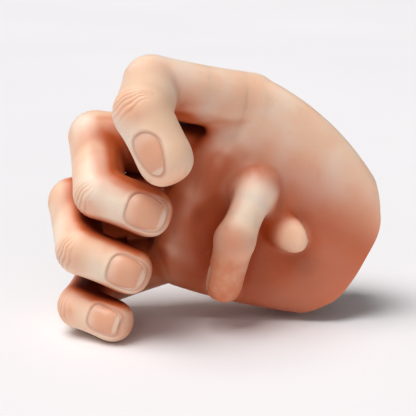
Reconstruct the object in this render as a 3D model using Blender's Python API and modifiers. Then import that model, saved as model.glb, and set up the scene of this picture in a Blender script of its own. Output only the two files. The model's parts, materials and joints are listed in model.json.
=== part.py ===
"""A poseable silicone hand: a palm glove over a rigid knuckle frame, four fingers and a thumb of hinged links.

Lengths are in millimetres and become metres through MM. +X runs from the fingers to the wrist, +Y away from
the palm, +Z up. The hand rests on its little finger and the edge of its palm, on the plane Z = 0.
A hinge's local frame has X along the bone, Y towards the palm and Z on the pin, so a positive turn bends the finger.
"""

import math

import bmesh
import bpy
from mathutils import Matrix, Vector

MM = 0.001

# Driving dimensions.
GAP = 0.3  # clearance between neighbouring pieces
SLEEVE_WALL = 1.8
PALM_WALL = 2.2
LINER_WALL = 1.4
PIN_RADIUS = 1.2
PIN_HOLE = PIN_RADIUS + GAP
BARREL_SHARE = 0.4  # half the width of a hinge's middle leaf, over its radius
CHEEK_SHARE = 0.84  # where a fork's outer cheek ends, over the same radius
YOKE = 2.2  # thickness of the bridge that joins a fork's cheeks
SIDES = 14  # sides of a finger sleeve
STEPS = 12  # sides of a barrel
NAIL_THICKNESS = 0.7
KNUCKLE_START = 3.0  # from a knuckle's pin to the rim of the first sleeve
PORT_FLARE = (14, 6)  # how far a port's flare reaches, and how much wider than the sleeve it ends
FRAME_CENTRE = (14.5, 16.4, 38.5)
FRAME_BAR = (5, 4.2, 30.6)  # thickness, depth and half length of the bar
FRAME_ARCH = 11.6  # how far the bar would curve towards the palm at the palm's edges
PLATE = 3.2  # thickness of the socket plate
PLATE_SIZE = (11, 40)
SCREWS_AT = (-15, 0, 15)
SCREW_RADIUS = 1.2
SCREW_LENGTH = 6
SCREW_HEAD = 1.4

# The joints of each finger from the knuckle to the centre of the fingertip, and the skin's radius at each.
# The limits are degrees from the rest pose, for the knuckle and then outwards. The roll turns a nail about its finger.
FINGERS = {
    "index": {
        "points": ((14.5, 8, 73.5), (-18.5, -2, 81), (-20.5, -24.5, 75.5), (-15.5, -31, 61.5)),
        "radii": (9.8, 9.4, 9.0, 8.6),
        "limits": ((-25, 10), (-58, 10), (-50, 10)),
        "nail": (9.5, 13.5, -3),
    },
    "middle": {
        "points": ((1.5, 12, 55), (-38.5, 9, 61), (-35.5, -13, 46.8), (-18.5, -13.5, 42.8)),
        "radii": (9.4, 8.7, 8.0, 7.7),
        "limits": ((-25, 3), (-85, 5), (-52, 8)),
        "nail": (11.5, 12.5, 25),
    },
    "ring": {
        "points": ((-7.5, 12, 36), (-46.5, 8, 38.2), (-42, -15.5, 28.2), (-25, -16, 23.2)),
        "radii": (8.9, 8.3, 7.6, 7.3),
        "limits": ((-25, 3), (-85, 3), (-32, 8)),
        "nail": (11, 12, 14),
    },
    "little": {
        "points": ((-11.5, 10, 18), (-40, 7.5, 8), (-43, -13, 7.8), (-30.5, -19, 7.2)),
        "radii": (8.1, 7.6, 7.2, 6.9),
        "limits": ((-25, 3), (-60, 6), (-62, 8)),
        "nail": (9.5, 10.5, 0),
    },
    "thumb": {
        "points": ((17, 1, 46), (9, -10, 30), (3.5, -8, 14.5)),
        "radii": (6.8, 6.8, 6.2),
        "limits": ((-25, 1), (-22, 1)),
        "nail": (8, 10, -85),
    },
}
BONES = {
    "thumb": ("base", "tip"),
    "default": ("proximal", "middle", "tip"),
}

# Cross-sections of the palm, from the wrist opening to the knuckles.
PALM_STATIONS = (
    {"centre": (48, 15, 19), "radial": (0.56, 0.14, 0.81), "width": 24, "depth": 15, "arch": 9, "bow": 4},
    {"centre": (25, 18, 34), "radial": (0.50, 0.05, 0.865), "width": 35, "depth": 14, "arch": 13, "bow": 0},
    {"centre": (1.5, 13, 46), "radial": (0.425, 0, 0.905), "width": 40, "depth": 12, "arch": 7, "bow": -5},
)
TONGUE = {"root": (22, 2.4, 33), "end": (29, 1.4, 28), "size": (9, 6, 3.5)}
PALM_SQUARENESS = 2.4  # 2 is an ellipse, and more is a blunter edge
RIM_ROUND = 0.13  # how far back, as a share of the palm, the rim's two corners are rounded


def vec(point):
    """A point in millimetres as a vector in metres."""
    return Vector(point) * MM


def material(name, colour, roughness, metallic=0.0):
    made = bpy.data.materials.new(name)
    made.use_nodes = True
    shader = made.node_tree.nodes["Principled BSDF"]
    shader.inputs["Base Color"].default_value = (*colour, 1)
    shader.inputs["Roughness"].default_value = roughness
    shader.inputs["Metallic"].default_value = metallic
    made.diffuse_color = (*colour, 1)
    return made


def collection(name):
    made = bpy.data.collections.new(name)
    bpy.context.scene.collection.children.link(made)
    return made


def solid(name, bm, where=Matrix.Identity(4), mat=None, group=None):
    """An object from a bmesh in metres, placed by the matrix where."""
    mesh = bpy.data.meshes.new(name)
    bm.to_mesh(mesh)
    bm.free()
    obj = bpy.data.objects.new(name, mesh)
    obj.matrix_world = where
    (group or HELPERS).objects.link(obj)
    if mat:
        mesh.materials.append(mat)
    return obj


def bake(obj):
    """Replaces an object's mesh with its evaluated one, modifiers applied."""
    graph = bpy.context.evaluated_depsgraph_get()
    mesh = bpy.data.meshes.new_from_object(obj.evaluated_get(graph))
    obj.modifiers.clear()
    obj.data = mesh
    return obj


def combine(obj, others, operation):
    """Joins the other objects to obj, or cuts them from it, and removes them."""
    for other in others:
        modifier = obj.modifiers.new(operation, "BOOLEAN")
        modifier.operation = operation
        modifier.object = other
        bpy.context.view_layer.update()
        bake(obj)
        bpy.data.objects.remove(other)
    return obj


def finish(obj, name, mat):
    """Makes a helper a part of the hand."""
    obj.name = name
    obj.data.materials.clear()
    obj.data.materials.append(MATERIALS[mat])
    HELPERS.objects.unlink(obj)
    HAND.objects.link(obj)


def box(low, high, where):
    bm = bmesh.new()
    bmesh.ops.create_cube(bm, size=1)
    low, high = vec(low), vec(high)
    bmesh.ops.scale(bm, vec=high - low, verts=bm.verts)
    bmesh.ops.translate(bm, vec=(low + high) / 2, verts=bm.verts)
    return solid("box", bm, where)


def rod(radius, half_length, where, sides=STEPS, name="rod", mat=None, group=None):
    """A cylinder along the local Z axis."""
    bm = bmesh.new()
    bmesh.ops.create_cone(
        bm, segments=sides, radius1=radius * MM, radius2=radius * MM, depth=2 * half_length * MM, cap_ends=True
    )
    return solid(name, bm, where, mat, group)


def ball(radius, centre, sides=16):
    bm = bmesh.new()
    bmesh.ops.create_uvsphere(bm, u_segments=sides, v_segments=sides // 2, radius=radius * MM)
    return solid("ball", bm, Matrix.Translation(vec(centre)))


def turned(profile, where):
    """A closed profile of (radius, height) points turned about the local Z axis."""
    bm = bmesh.new()
    ring = [bm.verts.new(vec((radius, 0, height))) for radius, height in profile]
    edges = [bm.edges.new((ring[i - 1], ring[i])) for i in range(len(ring))]
    bmesh.ops.spin(
        bm, geom=ring + edges, cent=(0, 0, 0), axis=(0, 0, 1), angle=2 * math.pi, steps=STEPS, use_merge=True
    )
    bmesh.ops.recalc_face_normals(bm, faces=bm.faces)
    return solid("turned", bm, where)


def hinge_leaf(radius, low, high, where):
    """The slice of a ball between two heights on the pin, with the pin's hole through it."""
    heights = (low, (low + high) / 2, high)
    outline = [(math.sqrt(radius**2 - height**2), height) for height in heights]
    return turned([(PIN_HOLE, low), *outline, (PIN_HOLE, high)], where)


def hinge_frame(origin, along, pin):
    """The local frame of a hinge: X along the bone, Y to the palm side, Z on the pin."""
    palmar = pin.cross(along).normalized()
    return Matrix.Translation(vec(origin)) @ Matrix((along, palmar, pin)).transposed().to_4x4()


def finger_frames(points):
    """For each bone: its length, its frame at the near hinge, and its frame at the far one."""
    points = [Vector(point) for point in points]
    ways = [(far - near).normalized() for near, far in zip(points, points[1:])]
    pins = [near.cross(far).normalized() for near, far in zip(ways, ways[1:])]
    first = (pins[0] - ways[0] * pins[0].dot(ways[0])).normalized()
    pins = [first, *pins, pins[-1]]
    bones = []
    for number, along in enumerate(ways):
        near, far = points[number], points[number + 1]
        bones.append(
            {
                "length": (far - near).length,
                "near": hinge_frame(near, along, pins[number]),
                "far": hinge_frame(far, along, pins[number + 1]),
            }
        )
    return bones


def ball_radius(skin_radius):
    """The knuckle ball that turns inside the sleeves."""
    return skin_radius - SLEEVE_WALL - 2 * GAP


def barrel(radius, where):
    return hinge_leaf(radius, -BARREL_SHARE * radius, BARREL_SHARE * radius, where)


def link(name, bone, near_radius, far_radius, tip_radius=None):
    """A bone of the frame: a fork on the near pin, a bar with a collar, and a barrel or a rounded core at the end."""
    reach = near_radius + 2 * GAP
    cheek_low = BARREL_SHARE * near_radius + GAP
    cheek_high = CHEEK_SHARE * near_radius
    near = bone["near"]
    upper = hinge_leaf(near_radius, cheek_low, cheek_high, near)
    pieces = [
        hinge_leaf(near_radius, -cheek_high, -cheek_low, near),
        box((PIN_HOLE + 0.5, -2, cheek_low), (reach + YOKE, 2, cheek_high), near),
        box((PIN_HOLE + 0.5, -2, -cheek_high), (reach + YOKE, 2, -cheek_low), near),
        box((reach, -2, -cheek_high), (reach + YOKE, 2, cheek_high), near),
    ]
    bar_end = bone["length"] - (0 if tip_radius else far_radius - 1.5)
    bar_half = BARREL_SHARE * min(near_radius, far_radius) - 0.3
    pieces.append(box((reach + 0.5, -1.7, -bar_half), (bar_end, 1.7, bar_half), near))
    collar_at = (reach + YOKE + bar_end) / 2
    collar_frame = near @ Matrix.Translation(vec((collar_at, 0, 0))) @ Matrix.Rotation(math.pi / 2, 4, "Y")
    pieces.append(rod(min(near_radius, far_radius) - 0.2, 0.8, collar_frame))
    if tip_radius:
        pieces.append(ball(tip_radius, bone["far"].translation / MM, 10))
    else:
        pieces.append(barrel(far_radius, bone["far"]))
    joined = combine(upper, pieces, "UNION")
    finish(joined, name, "link")


def rim_offset(palmar_share, radius, bend):
    """How far a sleeve's rim stands off the pin's plane, so that two sleeves meet face to face at a bend."""
    return GAP + max(0.0, palmar_share) * radius * math.tan(math.radians(bend) / 2)


def sleeve(name, bone, radii, near_bend, far_bend, start):
    """A silicone tube round a bone. Its rims slant where the finger bends, and a last bone's is closed in a dome."""
    bm = bmesh.new()
    length, (near_radius, far_radius) = bone["length"], radii
    closed = far_bend is None
    bmesh.ops.create_cone(bm, segments=SIDES, radius1=1, radius2=1, depth=2, cap_ends=False)
    near_rim = [vert for vert in bm.verts if vert.co.z < 0]
    far_rim = [vert for vert in bm.verts if vert.co.z > 0]
    far_pin = (bone["near"].inverted() @ bone["far"]).to_3x3()
    for rim, radius, bend in ((near_rim, near_radius, near_bend), (far_rim, far_radius, far_bend)):
        for vert in rim:
            side = Vector((0, vert.co.x, vert.co.y))
            if rim is near_rim:
                along = start if start else rim_offset(side.y, radius, bend)
            else:
                palmar = side.dot(far_pin.col[1])
                along = length if closed else length - rim_offset(palmar, radius, bend)
            vert.co = vec((along, side.y * radius, side.z * radius))
    if closed:
        edges = [edge for edge in bm.edges if all(vert in far_rim for vert in edge.verts)]
        for angle in (30, 60):
            made = bmesh.ops.extrude_edge_only(bm, edges=edges)["geom"]
            ring = [item for item in made if isinstance(item, bmesh.types.BMVert)]
            edges = [item for item in made if isinstance(item, bmesh.types.BMEdge)]
            edges = [edge for edge in edges if all(vert in ring for vert in edge.verts)]
            turn = math.radians(angle)
            for vert in ring:
                side = Vector((0, vert.co.y, vert.co.z)).normalized() * far_radius * math.cos(turn)
                vert.co = Vector((length + far_radius * math.sin(turn), side.y, side.z))
                vert.co = Vector((vert.co.x * MM, side.y * MM, side.z * MM))
        cap = bmesh.ops.contextual_create(bm, geom=edges)["faces"]
        bmesh.ops.poke(bm, faces=cap)
    bmesh.ops.recalc_face_normals(bm, faces=bm.faces)
    if sum(face.normal.dot(Vector((0, *face.calc_center_median().yz))) for face in bm.faces) < 0:
        bmesh.ops.reverse_faces(bm, faces=bm.faces)
    made = solid(name, bm, bone["near"], MATERIALS["silicone"], HAND)
    wall = made.modifiers.new("wall", "SOLIDIFY")
    wall.thickness = SLEEVE_WALL * MM
    wall.offset = -1
    wall.use_even_offset = True
    return made


def nail(name, bone, radius, width, length, roll):
    """A curved plate over the fingertip, clear of the sleeve."""
    bm = bmesh.new()
    bmesh.ops.create_grid(bm, x_segments=4, y_segments=6, size=0.5)
    half_turn = width / (2 * radius)
    for vert in bm.verts:
        turn = math.radians(roll) + vert.co.y * 2 * half_turn
        along = bone["length"] + (vert.co.x - 0.07) * length
        droop = 0.12 * max(0.0, vert.co.x) * length
        out = radius + 2 * GAP - droop * 0.5
        vert.co = vec((along, -out * math.cos(turn), out * math.sin(turn)))
    bmesh.ops.recalc_face_normals(bm, faces=bm.faces)
    if bm.faces[:][0].normal.dot(Vector((0, -math.cos(math.radians(roll)), math.sin(math.radians(roll))))) < 0:
        bmesh.ops.reverse_faces(bm, faces=bm.faces)
    made = solid(name, bm, bone["near"], MATERIALS["nail"], HAND)
    plate = made.modifiers.new("plate", "SOLIDIFY")
    plate.thickness = NAIL_THICKNESS * MM
    plate.offset = 1
    return made


def finger(name, facts):
    bones = finger_frames(facts["points"])
    names = BONES.get(name, BONES["default"])
    radii, limits = facts["radii"], facts["limits"]
    rest_bends = [
        math.degrees(near["far"].col[0].xyz.angle(far["near"].col[0].xyz)) for near, far in zip(bones, bones[1:])
    ]
    full_bends = [None, *(rest + high for rest, (_, high) in zip(rest_bends, limits[1:]))]
    for number, bone in enumerate(bones):
        last = number == len(bones) - 1
        near_ball, far_ball = ball_radius(radii[number]), ball_radius(radii[number + 1])
        link(f"{name}_{names[number]}_link", bone, near_ball, far_ball, 3.5 if last else None)
        pin = rod(
            PIN_RADIUS, near_ball * CHEEK_SHARE, bone["near"], 10, f"{name}_{names[number]}_pin", MATERIALS["steel"], HAND
        )
        pin.data.shade_smooth()
        sleeve(
            f"{name}_{names[number]}_sleeve",
            bone,
            radii[number : number + 2],
            full_bends[number],
            None if last else full_bends[number + 1],
            KNUCKLE_START if number == 0 else None,
        )
    length, width, roll = facts["nail"][1], facts["nail"][0], facts["nail"][2]
    nail(f"{name}_nail", bones[-1], radii[-1], width, length, roll)
    return bones


def through(values, share):
    """The value at a share of the way through three, on the parabola that passes through them."""
    first, middle, last = values
    return (
        first * (2 * share - 1) * (share - 1) + middle * 4 * share * (1 - share) + last * share * (2 * share - 1)
    )


def palm_point(share, turn):
    """A point of the palm's outer surface. The turn runs round the section, from 0 at the index side."""
    power = 2 / PALM_SQUARENESS
    across = math.copysign(abs(math.cos(turn)) ** power, math.cos(turn))
    depth = math.copysign(abs(math.sin(turn)) ** power, math.sin(turn))
    share += RIM_ROUND * abs(across) ** 5 * (1 - share) ** 2
    station = {
        key: through([Vector(s[key]) if isinstance(s[key], tuple) else s[key] for s in PALM_STATIONS], share)
        for key in PALM_STATIONS[0]
    }
    radial = station["radial"].normalized()
    palmar = TO_WRIST.cross(radial).normalized()
    return (
        station["centre"]
        + radial * across * station["width"]
        + palmar * (depth * station["depth"] + across**2 * station["arch"])
        + TO_WRIST * station["bow"] * (1 - across**2)
    )


def palm_shell(name, from_share, to_share, inset, wall, around, along, mat):
    bm = bmesh.new()
    bmesh.ops.create_grid(bm, x_segments=around, y_segments=along, size=0.5)
    for vert in bm.verts:
        share = from_share + (vert.co.y + 0.5) * (to_share - from_share)
        vert.co = palm_point(share, (vert.co.x + 0.5) * 2 * math.pi) * MM
    bmesh.ops.remove_doubles(bm, verts=bm.verts, dist=0.01 * MM)
    bmesh.ops.recalc_face_normals(bm, faces=bm.faces)
    middle = sum((vert.co for vert in bm.verts), Vector()) / len(bm.verts)
    if sum(face.normal.dot(face.calc_center_median() - middle) for face in bm.faces) < 0:
        bmesh.ops.reverse_faces(bm, faces=bm.faces)
    bm.normal_update()
    for vert, inwards in [(vert, vert.normal * vert.calc_shell_factor()) for vert in bm.verts]:
        vert.co -= inwards * inset * MM
    made = solid(name, bm, mat=mat, group=HAND)
    shell = made.modifiers.new("wall", "SOLIDIFY")
    shell.thickness = wall * MM
    shell.offset = -1
    shell.use_even_offset = True
    bpy.context.view_layer.update()
    return bake(made)


def tongue():
    """The short rounded tongue that stands up from the middle of the palm, moulded with the glove."""
    bm = bmesh.new()
    bmesh.ops.create_uvsphere(bm, u_segments=16, v_segments=8, radius=MM)
    along = (Vector(TONGUE["end"]) - Vector(TONGUE["root"])).normalized()
    across = along.cross(Vector((0, 1, 0))).normalized()
    axes = Matrix((along, across, along.cross(across))).transposed().to_4x4()
    bmesh.ops.scale(bm, vec=TONGUE["size"], verts=bm.verts)
    middle = (Vector(TONGUE["end"]) + Vector(TONGUE["root"])) / 2
    return solid("tongue", bm, Matrix.Translation(vec(middle)) @ axes)


def port(name, hinge):
    """The room that a finger's first sleeve turns in: a ball about the knuckle, and a flare towards the finger."""
    radius = FINGERS[name]["radii"][0]
    reach, spread = PORT_FLARE
    bm = bmesh.new()
    bmesh.ops.create_cone(
        bm, segments=24, radius1=(radius + GAP) * MM, radius2=(radius + spread) * MM, depth=reach * MM, cap_ends=True
    )
    bmesh.ops.translate(bm, vec=(0, 0, reach / 2 * MM), verts=bm.verts)
    flare = solid("flare", bm, hinge @ Matrix.Rotation(math.pi / 2, 4, "Y"))
    room = ball(math.hypot(radius, KNUCKLE_START) + 2 * GAP, hinge.translation / MM, 24)
    return combine(room, [flare], "UNION")


def palm(fingers):
    shell = palm_shell("palm_glove", 0, 1, 0, PALM_WALL, 32, 8, MATERIALS["silicone"])
    combine(shell, [tongue()], "UNION")
    ports = [port(name, bones[0]["near"]) for name, bones in fingers.items()]
    combine(shell, ports, "DIFFERENCE")
    palm_shell("palm_liner", 0.04, 0.55, PALM_WALL + GAP, LINER_WALL, 32, 4, MATERIALS["liner"])


def frame_place():
    """The knuckle frame's own axes: X to the wrist, Y to the back of the hand, Z to the index finger."""
    dorsal = Vector(PALM_STATIONS[2]["radial"]).cross(TO_WRIST).normalized()
    axes = Matrix((TO_WRIST, dorsal, TO_WRIST.cross(dorsal))).transposed().to_4x4()
    return Matrix.Translation(vec(FRAME_CENTRE)) @ axes


def bar_bow(height):
    """How far the frame's bar has curved towards the palm at a height, as the palm itself does."""
    return -FRAME_ARCH * (height / PALM_STATIONS[2]["width"]) ** 2


def frame_bar(place):
    width, depth, half_length = FRAME_BAR
    bm = bmesh.new()
    bmesh.ops.create_cube(bm, size=1)
    bmesh.ops.scale(bm, vec=(width, depth, 2 * half_length), verts=bm.verts)
    long_edges = [edge for edge in bm.edges if abs(edge.verts[0].co.z - edge.verts[1].co.z) > half_length]
    bmesh.ops.subdivide_edges(bm, edges=long_edges, cuts=7, use_grid_fill=True)
    for vert in bm.verts:
        vert.co.y += bar_bow(vert.co.z)
    bmesh.ops.scale(bm, vec=(MM, MM, MM), verts=bm.verts)
    return solid("bar", bm, place)


def arm_frame(hinge, toward):
    """A knuckle's frame turned about its pin until X points as nearly as it can along toward."""
    pin = hinge.col[2].xyz
    along = (toward - pin * toward.dot(pin)).normalized()
    return hinge_frame(hinge.translation / MM, along, pin)


def knuckle_frame(fingers, place):
    """The rigid bar that carries the five knuckle barrels."""
    pieces = []
    for name, bones in fingers.items():
        hinge = bones[0]["near"]
        size = ball_radius(FINGERS[name]["radii"][0])
        thumb = name == "thumb"
        arm = arm_frame(hinge, place.col[1].xyz if thumb else TO_WRIST)
        end = place.inverted() @ arm @ vec((size + 4, 0, 0)) / MM
        bow = bar_bow(end.z)
        pieces.append(barrel(size, hinge))
        pieces.append(box((size - 2, -1.7, -1.7), (size + 5, 1.7, 1.7), arm))
        if thumb:
            pieces.append(box((end.x - 2, end.y - 1, end.z - 2), (end.x + 2, bow, end.z + 2), place))
        else:
            low, high = min(end.y, bow) - 2, max(end.y, bow) + 2
            pieces.append(box((end.x - 1, end.y - 2, end.z - 2), (0, end.y + 2, end.z + 2), place))
            foot = math.copysign(min(abs(end.z), FRAME_BAR[2]) - 1.5, end.z)
            bottom, top = min(foot, end.z - 1.9), max(foot, end.z + 1.9)
            pieces.append(box((-4, low, bottom), (0.1, high, top), place))
    made = combine(frame_bar(place), pieces, "UNION")
    return combine(made, [screw_hole(place, at) for at in SCREWS_AT], "DIFFERENCE")


def screw_frame(place, height):
    """A screw's axes: Z along it towards the wrist, from the face of the frame's bar."""
    foot = Matrix.Translation(vec((FRAME_BAR[0] / 2, bar_bow(height), height)))
    return place @ foot @ Matrix.Rotation(math.pi / 2, 4, "Y")


def screw_hole(place, height):
    return rod(SCREW_RADIUS + GAP, SCREW_LENGTH, screw_frame(place, height))


def counterbore(place, height):
    """The pocket in the plate that a screw's head sinks into, below the plate's face."""
    floor = PLATE - SCREW_HEAD - GAP
    middle = screw_frame(place, height) @ Matrix.Translation(vec((0, 0, floor + SCREW_LENGTH)))
    return rod(2 * SCREW_RADIUS + GAP, SCREW_LENGTH, middle, 14)


def socket_mount(place):
    """The plate that a socket is fastened to, and the screws that hold it to the knuckle frame."""
    near = FRAME_BAR[0] / 2 + GAP
    width, height = PLATE_SIZE
    plate = box((near, -width / 2, -height / 2), (near + PLATE, width / 2, height / 2), place)
    combine(plate, [screw_hole(place, at) for at in SCREWS_AT], "DIFFERENCE")
    combine(plate, [counterbore(place, at) for at in SCREWS_AT], "DIFFERENCE")
    finish(plate, "socket_plate", "plate")
    for number, at in enumerate(SCREWS_AT, 1):
        foot = screw_frame(place, at)
        head_at = foot @ Matrix.Translation(vec((0, 0, PLATE - SCREW_HEAD / 2)))
        shank_at = foot @ Matrix.Translation(vec((0, 0, PLATE - (SCREW_HEAD + SCREW_LENGTH) / 2)))
        screw = rod(2 * SCREW_RADIUS, SCREW_HEAD / 2, head_at, 6)
        shank = rod(SCREW_RADIUS, SCREW_LENGTH / 2, shank_at, 10)
        finish(combine(screw, [shank], "UNION"), f"plate_screw_{number}", "steel")


def stand_on_origin():
    """Moves every part so that the hand's box stands on the origin, at the middle of its base."""
    bpy.context.view_layer.update()
    graph = bpy.context.evaluated_depsgraph_get()
    corners = []
    for obj in HAND.objects:
        evaluated = obj.evaluated_get(graph)
        corners += [evaluated.matrix_world @ vert.co for vert in evaluated.data.vertices]
    low = Vector([min(corner[axis] for corner in corners) for axis in range(3)])
    high = Vector([max(corner[axis] for corner in corners) for axis in range(3)])
    base = Vector(((low.x + high.x) / 2, (low.y + high.y) / 2, low.z))
    for obj in HAND.objects:
        obj.matrix_world = Matrix.Translation(-base) @ obj.matrix_world


def clear_scene():
    for obj in list(bpy.data.objects):
        bpy.data.objects.remove(obj)


clear_scene()
TO_WRIST = (Vector(PALM_STATIONS[0]["centre"]) - Vector(PALM_STATIONS[2]["centre"])).normalized()
HAND = collection("prosthetic_hand")
HELPERS = collection("helpers")
HELPERS.hide_render = True
MATERIALS = {
    "silicone": material("silicone", (0.85, 0.55, 0.42), 0.5),
    "liner": material("liner", (0.75, 0.62, 0.52), 0.6),
    "nail": material("nail", (0.85, 0.6, 0.5), 0.3),
    "link": material("link", (0.35, 0.36, 0.38), 0.4, 0.6),
    "plate": material("plate", (0.6, 0.61, 0.63), 0.35, 1.0),
    "steel": material("steel", (0.7, 0.7, 0.72), 0.3, 1.0),
}

fingers = {name: finger(name, facts) for name, facts in FINGERS.items()}
palm(fingers)
place = frame_place()
finish(knuckle_frame(fingers, place), "knuckle_frame", "link")
socket_mount(place)
stand_on_origin()
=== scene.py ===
import json
import math

import bmesh
import bpy
import numpy as np
from mathutils import Matrix, Vector
from mathutils.bvhtree import BVHTree


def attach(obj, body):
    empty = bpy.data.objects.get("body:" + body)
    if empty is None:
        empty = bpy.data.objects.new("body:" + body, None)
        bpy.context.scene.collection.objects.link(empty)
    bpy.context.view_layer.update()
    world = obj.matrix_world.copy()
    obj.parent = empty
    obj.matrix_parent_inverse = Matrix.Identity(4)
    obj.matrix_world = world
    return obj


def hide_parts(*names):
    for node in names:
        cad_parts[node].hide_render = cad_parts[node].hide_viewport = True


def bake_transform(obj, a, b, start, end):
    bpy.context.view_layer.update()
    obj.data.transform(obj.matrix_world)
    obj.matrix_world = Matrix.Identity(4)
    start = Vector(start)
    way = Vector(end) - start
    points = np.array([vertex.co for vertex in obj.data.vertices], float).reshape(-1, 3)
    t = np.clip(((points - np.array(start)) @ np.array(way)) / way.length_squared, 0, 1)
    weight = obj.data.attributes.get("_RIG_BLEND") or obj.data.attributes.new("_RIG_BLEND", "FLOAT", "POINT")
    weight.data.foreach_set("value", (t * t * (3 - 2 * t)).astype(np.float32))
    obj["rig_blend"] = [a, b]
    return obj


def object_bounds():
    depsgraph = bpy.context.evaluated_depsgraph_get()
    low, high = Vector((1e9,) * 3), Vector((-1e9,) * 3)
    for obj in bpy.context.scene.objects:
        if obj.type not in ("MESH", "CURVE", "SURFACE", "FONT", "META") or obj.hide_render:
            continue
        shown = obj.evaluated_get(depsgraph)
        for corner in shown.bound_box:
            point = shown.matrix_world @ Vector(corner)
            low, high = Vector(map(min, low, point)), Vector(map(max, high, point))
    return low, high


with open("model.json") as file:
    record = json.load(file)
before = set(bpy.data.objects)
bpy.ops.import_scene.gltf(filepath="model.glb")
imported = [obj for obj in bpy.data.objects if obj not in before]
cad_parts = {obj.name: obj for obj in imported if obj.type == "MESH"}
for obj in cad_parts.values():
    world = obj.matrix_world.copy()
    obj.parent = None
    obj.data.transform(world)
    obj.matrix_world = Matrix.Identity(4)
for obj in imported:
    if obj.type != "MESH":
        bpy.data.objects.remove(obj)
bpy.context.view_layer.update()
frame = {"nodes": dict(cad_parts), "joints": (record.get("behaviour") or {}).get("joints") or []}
scene = bpy.context.scene
mm = 0.001

# each finger, in millimetres: skin radii from the knuckle to the tip, the tip radius of the frame's own
# sleeve, how far the first bone swells up and down to its neighbours and how far out, its bodies, its nail
fingers = {
    "index": {"radii": (9.8, 9.7, 9.4, 9.0), "frameTip": 8.6, "swell": ((0, 1), (1.6, 1)),
              "bodies": ("proximal", "middle", "tip"),
              "nail": {"wide": 9.6, "long": 13.5, "corner": 2.15, "taper": 0.28}},
    "middle": {"radii": (9.8, 9.2, 8.7, 8.4), "frameTip": 7.7, "swell": ((1.6, 1), (3.4, 1)),
               "bodies": ("proximal", "middle", "tip"),
               "nail": {"wide": 12.6, "long": 12.6, "corner": 3.0, "taper": 0.04}},
    "ring": {"radii": (9.2, 8.8, 8.3, 8.0), "frameTip": 7.3, "swell": ((3.4, 1), (5.7, 1.35)),
             "bodies": ("proximal", "middle", "tip"),
             "nail": {"wide": 11.6, "long": 11.8, "corner": 3.0, "taper": 0.04}},
    "little": {"radii": (8.4, 8.0, 7.6, 7.2), "frameTip": 6.9, "swell": ((5.7, 1.35), (0, 1)),
               "bodies": ("proximal", "middle", "tip"),
               "nail": {"wide": 9.6, "long": 10.4, "corner": 3.8, "taper": 0.0}},
    "thumb": {"radii": (7.0, 6.9, 6.3), "frameTip": 6.2, "swell": ((0, 1), (0, 1)),
              "bodies": ("base", "tip"),
              "nail": {"wide": 8.0, "long": 9.5, "corner": 2.6, "taper": 0.05}},
}

# the palm's three cross-sections, wrist first, in millimetres in the maker's frame of the part
palm = {
    "knuckle": (14.5, 8, 73.5),  # the index knuckle in that frame
    "centre": ((48, 15, 19), (25, 18, 34), (1.5, 13, 46)),
    "radial": ((0.56, 0.14, 0.81), (0.50, 0.05, 0.865), (0.425, 0, 0.905)),
    "wide": (24, 35, 40),
    "deep": (15, 14, 12),
    "arch": (9, 13, 7),
    "bow": (4, 0, -5),
    "corner": 7,  # how far the rim's corners are rounded back
    "toWrist": (0.864, 0.037, -0.502),
    "square": 2.4,
    "wall": 2.2,
    "long": 53.8,  # from the rim to the knuckles
    # the flare of the thumb's root: distance past its joint, and radius
    "thumbRoot": ((-5, 5), (-4, 7.6), (-1, 8.4), (2, 8.2), (4.5, 7.6), (7, 7), (9, 6.2)),
    "tongue": {"root": (22, 3.4, 33.5), "end": (29.4, -1.4, 27.8), "wide": 6.2, "deep": 3.4,
               "across": (0.35, 0, 0.94),
               "rings": ((-0.3, 0.7), (0, 1.0), (0.3, 1.06), (0.6, 1.05), (0.85, 0.98), (1.1, 0.86),
                         (1.3, 0.66), (1.45, 0.4), (1.5, 0.2))},  # place from root to end, and size there
}

joints = {joint["child"]: joint for joint in frame["joints"]}
shift = Vector(joints["index_proximal"]["pos_m"]) - Vector(palm["knuckle"]) * mm


def unit(v):
    return Vector(v).normalized()


def jointOf(body):
    return Vector(joints[body]["pos_m"])


def tipCentre(finger, look):
    # the pole of the frame's last sleeve is one radius past the centre of the fingertip
    near = jointOf(finger + "_tip")
    verts = frame["nodes"][finger + "_tip_sleeve"].data.vertices
    pole = max((v.co for v in verts), key=lambda co: (co - near).length)
    return pole - unit(pole - near) * look["frameTip"] * mm


def bonesOf(finger, look):
    # each bone: its two ends, its direction, its pin, its palmar side, and the skin's radius at both ends
    bodies = [finger + "_" + name for name in look["bodies"]]
    points = [jointOf(body) for body in bodies] + [tipCentre(finger, look)]
    made = []
    for number, body in enumerate(bodies):
        near, far = points[number], points[number + 1]
        along, pin = unit(far - near), Vector(joints[body]["axis"])
        pin = unit(pin - along * pin.dot(along))
        swell = [(size * mm if number == 0 else 0.0, skew) for size, skew in look["swell"]]
        made.append({"swell": swell, "body": body, "near": near, "far": far, "along": along, "pin": pin,
                     "palmar": pin.cross(along), "long": (far - near).length,
                     "radii": (look["radii"][number] * mm, look["radii"][number + 1] * mm)})
    return made


bones = {finger: bonesOf(finger, look) for finger, look in fingers.items()}


def ringAt(bone, along, wide, deep, rise=0.0, lean=0.0):
    # a unit circle's matrix, across the bone at a distance from its near end
    centre = bone["near"] + bone["along"] * along + bone["palmar"] * rise + bone["pin"] * lean
    m = Matrix((bone["pin"] * wide, bone["palmar"] * deep, bone["along"])).transposed().to_4x4()
    m.translation = centre
    return m


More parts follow.
